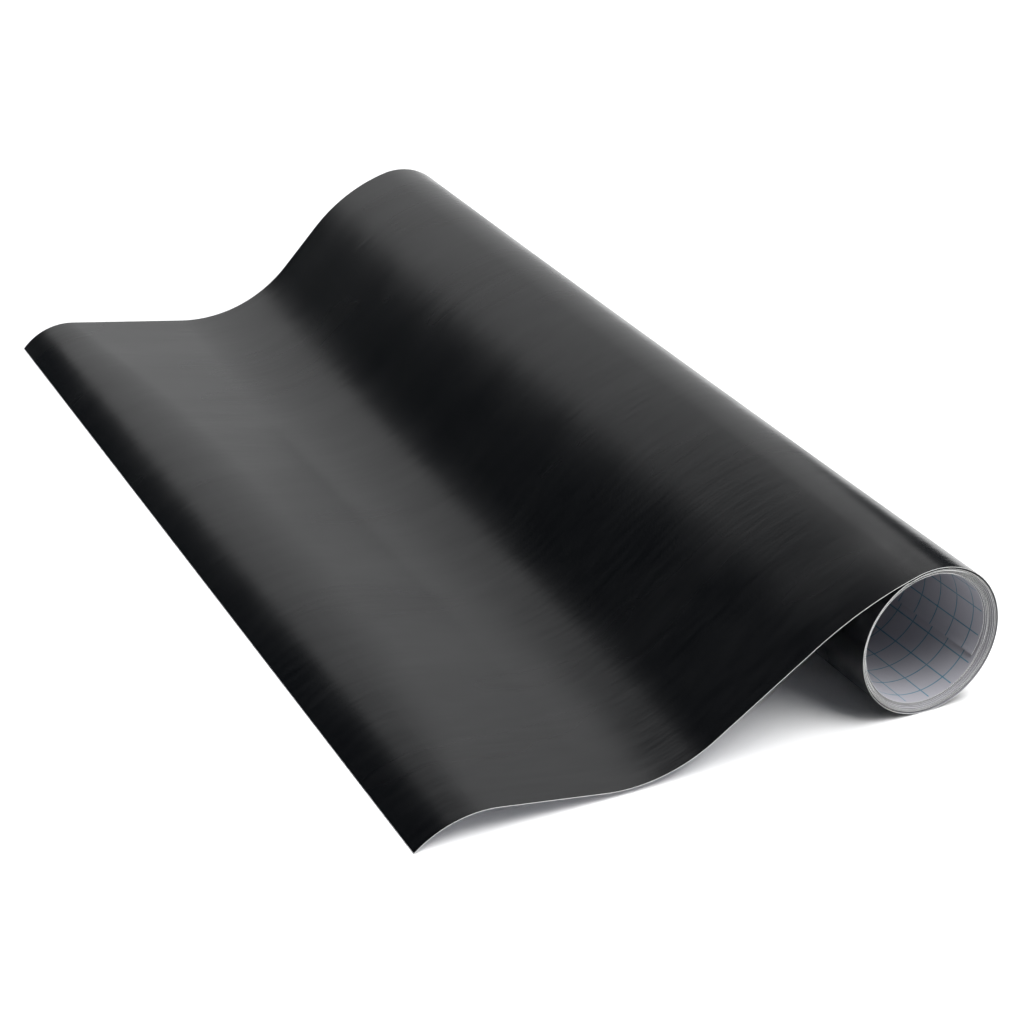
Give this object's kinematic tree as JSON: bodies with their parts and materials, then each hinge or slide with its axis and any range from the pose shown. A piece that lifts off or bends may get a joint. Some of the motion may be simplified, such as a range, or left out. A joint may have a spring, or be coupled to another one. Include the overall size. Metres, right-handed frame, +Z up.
{
  "type": "roll of sign vinyl",
  "caption": "Coreless roll of black self-adhesive sign vinyl on a paper liner, with the start of the web unrolled in front of it.",
  "frame": {"origin": "on the axis of the bore, halfway along the roll", "axes": "+Z up, +Y along the roll's axis, the unrolled lead goes towards -X; the roll and the lead rest on a level surface below"},
  "size_m": [0.2328, 0.5, 0.0606],
  "materials": {
    "film": "satin black calendered vinyl",
    "liner": "white silicone-coated paper with a printed teal grid"
  },
  "bodies": {
    "outer_turn": {"outer_turn_film": "film", "outer_turn_liner": "liner"},
    "wound_turns": {"wound_film": "film", "wound_liner": "liner"},
    "inner_end": {"inner_end_film": "film", "inner_end_liner": "liner"},
    "slope": {"slope_film": "film", "slope_liner": "liner"},
    "arch": {"arch_film": "film", "arch_liner": "liner"},
    "curl": {"curl_film": "film", "curl_liner": "liner"},
    "peel": {"peel_film": "film"}
  },
  "joints": [
    {"name": "coil_turn", "type": "hinge", "parent": "outer_turn", "child": "wound_turns", "pos_m": [0.00069, 0, -0.00032], "axis": [0, -1, 0], "continuous": true},
    {"name": "inner_end_spring", "type": "hinge", "parent": "wound_turns", "child": "inner_end", "pos_m": [0.0221, 0, 0.01294], "axis": [0, 1, 0], "range_deg": [0, 20], "stiffness_Nm_per_rad": 0.04},
    {"name": "lead_lift", "type": "hinge", "parent": "outer_turn", "child": "slope", "pos_m": [-0.01213, 0, 0.02895], "axis": [0, 1, 0], "range_deg": [0, 75], "stiffness_Nm_per_rad": 0.3},
    {"name": "lead_bend", "type": "hinge", "parent": "slope", "child": "arch", "pos_m": [-0.09611, 0, -0.02669], "axis": [0, 1, 0], "range_deg": [-15, 60], "stiffness_Nm_per_rad": 0.2},
    {"name": "edge_curl", "type": "hinge", "parent": "arch", "child": "curl", "pos_m": [-0.17222, 0, -0.02104], "axis": [0, 1, 0], "range_deg": [-30, 60], "stiffness_Nm_per_rad": 0.1},
    {"name": "film_peel", "type": "hinge", "parent": "curl", "child": "peel", "pos_m": [-0.18454, 0, -0.021], "axis": [0, 1, 0], "range_deg": [0, 150], "stiffness_Nm_per_rad": 0.01}
  ]
}
